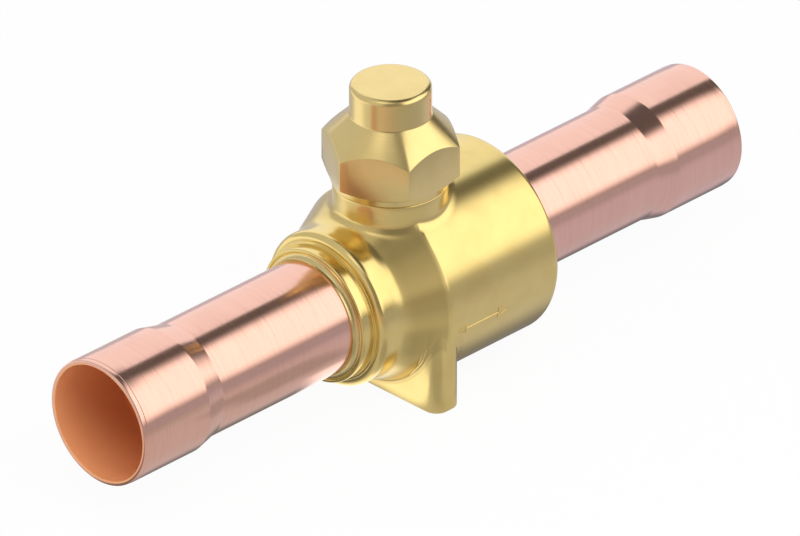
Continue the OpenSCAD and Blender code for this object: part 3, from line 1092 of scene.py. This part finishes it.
@dataclass
class SealCap:
    """The hexagonal seal cap with its boss and turned skirt."""

    skirt_r: float = 13.9
    skirt_z: float = 26.4
    hex_z: float = 28.0
    hex_top: float = 37.2
    hex_af: float = 28.8
    boss_r: float = 9.64
    cone_top: float = 44.187
    top_z: float = 52.1
    boss_bore_r: float = 7.64
    roof_z: float = 49.6
    bore_r: float = 11.0
    shoulder_z: float = 39.7
    edge: float = 0.22
    crown_round: float = 1.5
    boss_round: float = 0.7
    roof_round: float = 0.8
    mouth_edge: float = 0.6
    spare: float = 1.0  # the turned blank outside the hexagon's corners

    def build(self) -> None:
        """Turns the cap, cuts its six flats and breaks the edges."""
        corner_r = self.hex_af / math.sqrt(3) + self.spare
        bottom = self.hex_z + (corner_r - self.skirt_r) * math.tan(math.radians(30))
        outline = rounded([
            (0, self.top_z), (self.boss_r, self.top_z, self.crown_round),
            (self.boss_r, self.cone_top, self.boss_round),
            (corner_r, self.hex_top - self.spare), (corner_r, bottom), (self.skirt_r, self.hex_z),
            (self.skirt_r, self.skirt_z, 0.3), (self.bore_r + self.mouth_edge, self.skirt_z),
            (self.bore_r, self.skirt_z + self.mouth_edge), (self.bore_r, self.shoulder_z),
            (self.boss_bore_r, self.shoulder_z), (self.boss_bore_r, self.roof_z, self.roof_round),
            (0, self.roof_z)])
        piece = turned("seal_cap_hex", outline, Axis.STEM, 180, closed=False)
        deselected()
        low, high = self.skirt_z - 2, self.top_z + 2
        bpy.ops.mesh.primitive_cylinder_add(vertices=6, radius=self.hex_af / math.sqrt(3) * MM,
                                            depth=(high - low) * MM, location=placed(0, 0, (low + high) / 2),
                                            rotation=(0, 0, math.radians(30)))
        prism = bpy.context.object
        applied()
        combined(piece, prism, "INTERSECT")
        merged(piece, 0.01)
        modified(piece, "BEVEL", width=self.edge * MM, segments=2, limit_method="ANGLE",
                 angle_limit=CAP_ANGLE, use_clamp_overlap=True)
        dressed(piece, CAP_BRASS, Body.CAP, Slot.BRASS_TURNED, "seal_cap", angle=CAP_ANGLE)


@dataclass
class BrazeFillet:
    """The fillet of braze between a tube and the brass face that it comes out of."""

    name: str
    node: str
    face_x: float
    side: int
    tube_r: float = 14.31
    reach: float = 1.25
    sunk: float = 0.02
    chords: int = 8

    def build(self) -> None:
        """Turns the fillet with its hollow face."""
        hollow = [Vector((self.tube_r + self.reach * (1 + math.cos(t)), self.reach * (1 + math.sin(t))))
                  for t in (math.pi * (1 + k / self.chords / 2) for k in range(self.chords + 1))]
        points = [Vector((p.x, self.face_x + self.side * (p.y - self.sunk)))
                  for p in (Vector((self.tube_r, 0)), *hollow)]
        piece = turned(self.name, points, Axis.PIPE, ROUND_STEPS)
        dressed(piece, BRAZE, Body.VALVE, Slot.BRASS_BODY, self.node)


@dataclass
class NeckThread:
    """The thread on the neck that the cap screws onto."""

    core_r: float = 10.1
    crest_r: float = 10.9
    low_z: float = 26.9
    pitch: float = 1.5
    root_share: float = 0.44  # half a tooth's foot
    crest_half: float = 0.12
    sunk: float = 0.3
    turns: int = 6
    steps: int = 64
    run_out: int = 20
    least: float = 0.1

    def build(self) -> None:
        """Sweeps one tooth up the neck and closes its ends."""
        half, root = self.pitch * self.root_share, self.core_r - self.sunk
        tooth = [(root, -half), (self.core_r, -half), (self.crest_r, -self.crest_half),
                 (self.crest_r, self.crest_half), (self.core_r, half), (root, half)]
        piece = drawn("neck_thread", [placed(r, 0, self.low_z + half + z) for r, z in tooth])
        bpy.ops.object.mode_set(mode="OBJECT")
        applied()
        piece.data.transform(Matrix.Translation(-placed(0, 0, 0)))
        modified(piece, "SCREW", axis="Z", angle=TURN, screw_offset=self.pitch * MM, iterations=self.turns,
                 steps=self.steps, render_steps=self.steps)
        last = self.turns * self.steps
        for vertex in piece.data.vertices:
            step = vertex.index // len(tooth)
            share = max(self.least, min(1.0, step / self.run_out, (last - step) / self.run_out))
            r = math.hypot(vertex.co.x, vertex.co.y) / MM
            vertex.co.xy *= (root + (r - root) * share) / r
        piece.data.transform(Matrix.Translation(placed(0, 0, 0)))
        bpy.ops.object.mode_set(mode="EDIT")
        bpy.ops.mesh.select_all(action="SELECT")
        bpy.ops.mesh.fill_holes(sides=0)
        bpy.ops.object.mode_set(mode="OBJECT")
        merged(piece)
        dressed(piece, CAP_BRASS, Body.VALVE, Slot.BRASS_BODY)


@dataclass
class FlowArrow:
    """The raised arrow with a head at each end on the barrel's flank."""

    middle_z: float = -4.15
    stroke: float = 0.42
    left: tuple[float, float, float] = (-2.0, 0.8, 1.4)
    right: tuple[float, float, float] = (14.7, 11.05, 1.5)
    body_r: float = 24.5
    height: float = 0.17
    rim: float = 0.02

    def hole(self, head: tuple[float, float, float]) -> list[tuple[float, float]]:
        """Works out the open middle of a head.

        Args:
            head: The head's tip, its base and half of its width.

        Returns:
            The three corners of the opening.
        """
        tip, base, half = head
        side = math.copysign(1, base - tip)
        slope = half / abs(base - tip)
        near = tip + side * self.stroke / math.sin(math.atan(slope))
        far = base - side * self.stroke
        rise = abs(far - near) * slope
        return [(near, 0.0), (far, rise), (far, -rise)]

    def build(self) -> None:
        """Draws the arrow flat, gives it its height and wraps it round the barrel."""
        (tip_a, base_a, half_a), (tip_b, base_b, half_b), s = self.left, self.right, self.stroke / 2
        outline = [(tip_a, 0.0), (base_a, half_a), (base_a, s), (base_b, s), (base_b, half_b), (tip_b, 0.0),
                   (base_b, -half_b), (base_b, -s), (base_a, -s), (base_a, -half_a)]
        curve = bpy.data.curves.new("flow_arrow", "CURVE")
        curve.dimensions, curve.fill_mode = "2D", "BOTH"
        curve.extrude, curve.bevel_depth, curve.bevel_resolution = self.rim, self.height, 3
        curve.offset = -self.height
        for path in (outline, self.hole(self.left), self.hole(self.right)):
            spline = curve.splines.new("POLY")
            spline.points.add(len(path) - 1)
            for point, (x, y) in zip(spline.points, path):
                point.co = (x, y, 0, 1)
            spline.use_cyclic_u = True
        piece = bpy.data.objects.new("flow_arrow", curve)
        bpy.context.collection.objects.link(piece)
        chosen(piece)
        bpy.ops.object.convert(target="MESH")
        for vertex in piece.data.vertices:
            x, y, rise = vertex.co
            turn = math.asin((self.middle_z + y) / self.body_r)
            r = self.body_r + rise
            vertex.co = placed(x, -r * math.cos(turn), r * math.sin(turn))
        merged(piece, 0.001)
        dressed(piece, FORGED, Body.VALVE, Slot.BRASS_BODY)


# Stage


@dataclass(frozen=True)
class Patch:
    """A soft-edged rectangle on the floor, in millimetres, or on the room's wall, in degrees.

    Each side is given as the place where it starts and the place where it is full. A side that is
    left out is open.
    """

    level: float
    left: Span | None = None
    right: Span | None = None
    low: Span | None = None
    high: Span | None = None

    def over(self, across: Value, up: Value) -> Value:
        """Works out its level at a point.

        Args:
            across: The point's place from the left to the right side.
            up: Its place from the low to the high side.

        Returns:
            The patch's level inside it and 0 outside.
        """
        sides = [across.ramp(*side) for side in (self.left, self.right) if side]
        sides += [up.ramp(*side) for side in (self.low, self.high) if side]
        return math.prod(sides, start=self.level)


@dataclass
class Studio:
    """Camera, floor and light.

    The floor's patches are painted shadows, painted light and painted shade that only the metal's
    mirror images show; they lie along X and across it, along Y. The room's lie along the turn round the
    object, which is 45 degrees straight behind the camera, and up the rise above the horizon.
    """

    lens: float = 900.0
    width_mm: float = 186.0
    right_shift: float = 2.174
    up_shift: float = 2.139
    floor_size: float = 6.0
    paper: Colour = (0.80, 0.80, 0.80, 1)
    whiteness: float = 0.95  # how much of the paper the camera sees as plain white
    # painted shadows, painted light and painted shade on the floor, seen only in the metal's mirror images,
    # and the tints of that painted reflection
    painted_shadow_under_tubes: Patch = Patch(0.38, low=(-12, -3), high=(14, 6))
    painted_shadow_under_barrel: Patch = Patch(0.36, (-2, 6), (50, 42), (-28, -16), (27, 17))
    painted_light_before_foot: Patch = Patch(1.0, (-30, -20), (-7, -11), (-20, -14), (16, 10))
    painted_shade_before_body: Patch = Patch(0.16, (-50, -36), (0, -12), (-62, -48), (-20, -28))
    behind: Patch = Patch(0.15, right=(-15, -35), low=(12, 25))
    beyond: Patch = Patch(0.38, left=(-75, -50), low=(28, 42), high=(90, 70))
    far_corner: Patch = Patch(0.38, right=(-45, -65), low=(80, 95))
    warm_side: Patch = Patch(1.0, right=(-80, -115), high=(30, 0))
    foot_level: float = 0.75
    near_y: Span = (-150, -50)
    near_levels: Span = (0.44, 0.60)
    cool_x: Span = (-10, 50)
    plain_tint: Colour = (0.99, 1.0, 1.0, 1)
    cool_tint: Colour = (0.98, 1.0, 1.12, 1)
    warm_tint: Colour = (1.14, 0.98, 0.90, 1)
    gap_level: float = 0.12
    right_box: Patch = Patch(1.36, (74, 90), (177, 155), (-4, 14), (63, 46))
    back_box: Patch = Patch(0.94, (-166, -161), (-91, -103), (-80, -60), (63, 51))
    left_wall: Patch = Patch(0.52, (-107, -87), (-15, -35), (-80, -60))
    near_left_wall: Patch = Patch(0.55, (-35, -15), (37, 17), (-80, -60))
    camera_wall: Patch = Patch(0.16, (17, 37), (90, 70), (-80, -60))
    high_box: Patch = Patch(0.55, (-15, 0), (68, 40), (44, 52), (72, 64))
    cool_wall: Patch = Patch(1.0, (-175, -160), (-20, -40))
    room_tint: Colour = (1.0, 1.0, 0.97, 1)
    cool_room_tint: Colour = (0.98, 1.01, 1.04, 1)
    lamp_size: float = 0.8
    lamp_power: float = 6.0
    lamp_place: tuple[float, float, float] = (-0.25, -0.45, 0.9)

    def camera(self) -> None:
        """A long lens from the photograph's side, 30 degrees above the horizon."""
        right = Vector((math.sqrt(0.5), -math.sqrt(0.5), 0))
        back = Vector((-math.sqrt(0.375), -math.sqrt(0.375), 0.5))
        up = back.cross(right)
        target = placed(0, 0, 0) + (right * self.right_shift + up * self.up_shift) * MM
        data = bpy.data.cameras.new("camera")
        data.lens, data.sensor_width = self.lens, 36.0
        distance = self.width_mm * MM * self.lens / data.sensor_width
        data.clip_start, data.clip_end = distance / 10, distance * 3
        camera = bpy.data.objects.new("camera", data)
        camera.location = target + back * distance
        camera.rotation_mode = "QUATERNION"
        camera.rotation_quaternion = (-back).to_track_quat("-Z", "Y")
        bpy.context.collection.objects.link(camera)
        bpy.context.scene.camera = camera

    def floor(self) -> None:
        """A plain pale floor that keeps a soft shadow; where the metal mirrors it, it shows painted shadows,
        painted light and painted shade in place of the lit paper.
        """
        deselected()
        bpy.ops.mesh.primitive_plane_add(size=self.floor_size, location=(0, 0, 0))
        floor = bpy.context.object
        floor.name = "floor"
        made = bpy.data.materials.new("floor_paper")
        made.use_nodes = True
        net = Net(made.node_tree)
        path = net.node("ShaderNodeLightPath")
        x, y, _ = net.place()
        # painted shadows under the tubes and the barrel and painted light before the foot, seen only in the
        # metal's mirror images
        painted_shadow = self.painted_shadow_under_tubes.over(x, y).math("MAXIMUM", self.painted_shadow_under_barrel.over(x, y))
        painted_light = self.painted_light_before_foot.over(x, y)
        # the level the metal mirrors: painted shade towards the front and before the body, the painted
        # shadows, and painted light before the foot and behind the object
        level = (y.ramp(*self.near_y, *self.near_levels) - painted_shadow * (1 - painted_light)
                 + painted_light * self.foot_level - self.painted_shade_before_body.over(x, y)
                 + self.behind.over(x, y) + self.beyond.over(x, y) + self.far_corner.over(x, y))
        # tints of the painted floor reflection, cooler towards +X and warmer far out on the -X side in front
        tint = net.mix(x.ramp(*self.cool_x), self.plain_tint, self.cool_tint)
        tint = net.mix(self.warm_side.over(x, y), tint, self.warm_tint)
        camera = Value(net, path.outputs["Is Camera Ray"])
        mirrored = Value(net, path.outputs["Is Glossy Ray"])
        paper = net.value("ShaderNodeBsdfDiffuse", inputs={"Color": self.paper})
        colour = net.lit(net.mix(mirrored, (1.0, 1.0, 1.0, 1), tint), camera + mirrored * level)
        white = net.value("ShaderNodeEmission", inputs={"Color": colour, "Strength": 1.0})
        share = camera * self.whiteness + mirrored
        seen = net.value("ShaderNodeMixShader", inputs={0: share, 1: paper, 2: white})
        under = net.value("ShaderNodeNewGeometry", output="Backfacing")
        clear = net.value("ShaderNodeBsdfTransparent")
        net.node("ShaderNodeOutputMaterial", inputs={
            "Surface": net.value("ShaderNodeMixShader", inputs={0: under, 1: seen, 2: clear})})
        floor.data.materials.append(made)

    def world(self) -> None:
        """A room with soft boxes to the right of the object, behind it and high up, and dim walls."""
        made = bpy.data.worlds.new("studio")
        made.use_nodes = True
        bpy.context.scene.world = made
        net = Net(made.node_tree)
        way = net.value("ShaderNodeTexCoord", output="Generated")
        x, y, z = (Value(net, s) for s in net.node("ShaderNodeSeparateXYZ", inputs={0: way}).outputs)
        turn = (y * -1).math("ARCTAN2", x * -1) * math.degrees(1)
        rise = z.math("ARCSINE") * math.degrees(1)
        patches = (self.right_box, self.back_box, self.left_wall, self.near_left_wall,
                   self.camera_wall, self.high_box)
        level = sum((patch.over(turn, rise) for patch in patches), start=self.gap_level)
        path = net.node("ShaderNodeLightPath")
        seen = Value(net, path.outputs["Is Camera Ray"])
        cool = self.cool_wall.over(turn, rise) * (1 - seen)
        tint = net.mix(cool, self.room_tint, self.cool_room_tint)
        colour = net.lit(tint, level * (1 - seen) + seen)
        light = net.value("ShaderNodeBackground", inputs={"Color": colour, "Strength": 1.0})
        net.node("ShaderNodeOutputWorld", inputs={"Surface": light})

    def lamp(self) -> None:
        """One large soft lamp overhead, kept out of the mirror images in the metal."""
        data = bpy.data.lights.new("soft_lamp", "AREA")
        data.shape, data.size, data.energy = "DISK", self.lamp_size, self.lamp_power
        lamp = bpy.data.objects.new("soft_lamp", data)
        lamp.location = self.lamp_place
        lamp.rotation_mode = "QUATERNION"
        lamp.rotation_quaternion = lamp.location.to_track_quat("Z", "Y")
        lamp.visible_glossy = False
        bpy.context.collection.objects.link(lamp)

    def build(self) -> None:
        """Sets up the view and everything round the object."""
        self.camera()
        self.floor()
        self.world()
        self.lamp()
        bpy.context.scene.view_settings.view_transform = "Standard"


def dress_nodes(nodes: dict[str, bpy.types.Object]) -> None:
    """Gives the CAD nodes that stay their finishes.

    Args:
        nodes: The frame's nodes by name.
    """
    for name, finish in NODE_FINISHES.items():
        node = nodes[name]
        node.data.materials.clear()
        node.data.materials.append(finish.material())
        log.info("%s: %s", name, finish.name)


def main() -> None:
    """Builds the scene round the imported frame."""
    logging.basicConfig(level=logging.INFO, format="%(message)s")
    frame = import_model()
    Studio().build()
    forging, plug = BodyForging(), EndPlug()
    forging.build()
    CopperTube("front_tube_drawn", "front_tube", -forging.tube_x, FRONT_REACH, -1).build()
    CopperTube("rear_tube_drawn", "rear_tube", plug.tube_x, REAR_REACH, 1).build()
    plug.build()
    SealCap().build()
    BrazeFillet("front_braze_fillet", "front_braze_ring", forging.collar_x, -1).build()
    BrazeFillet("rear_braze_fillet", "rear_braze_ring", plug.end_x, 1).build()
    NeckThread().build()
    FlowArrow().build()
    dress_nodes(frame["nodes"])


if __name__ == "__main__":
    main()
